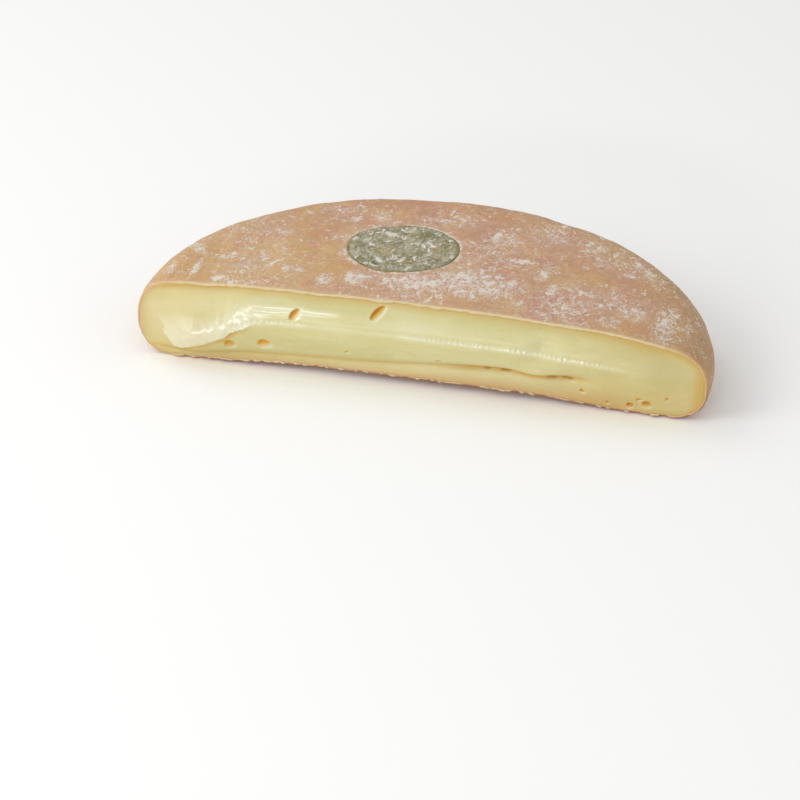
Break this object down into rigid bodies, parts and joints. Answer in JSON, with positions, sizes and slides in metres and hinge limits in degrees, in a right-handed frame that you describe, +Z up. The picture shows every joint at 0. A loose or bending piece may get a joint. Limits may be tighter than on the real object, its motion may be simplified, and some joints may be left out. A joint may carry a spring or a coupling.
{
  "type": "reblochon cheese half",
  "caption": "Half of a ripe, flat washed-rind mountain cheese with a bulging cut face of soft paste and a green casein mark in its rind.",
  "frame": {"origin": "on the ground, under the middle of the half cheese's bounding box", "axes": "+X along the cut towards the end on the right as the cut is seen from the front, -Y out of the cut face, +Z up"},
  "size_m": [0.14, 0.0712, 0.0222],
  "materials": {
    "rind": "washed rind, dry and matt, ochre to pinkish tan with a thin bloom of white mould",
    "paste": "ripe soft paste, creamy yellow and translucent, glossy where it swells out",
    "casein": "pressed casein, matt olive green, worn and flecked with mould"
  },
  "bodies": {
    "root": {"cheese": "rind", "casein_mark": "casein"}
  },
  "joints": []
}
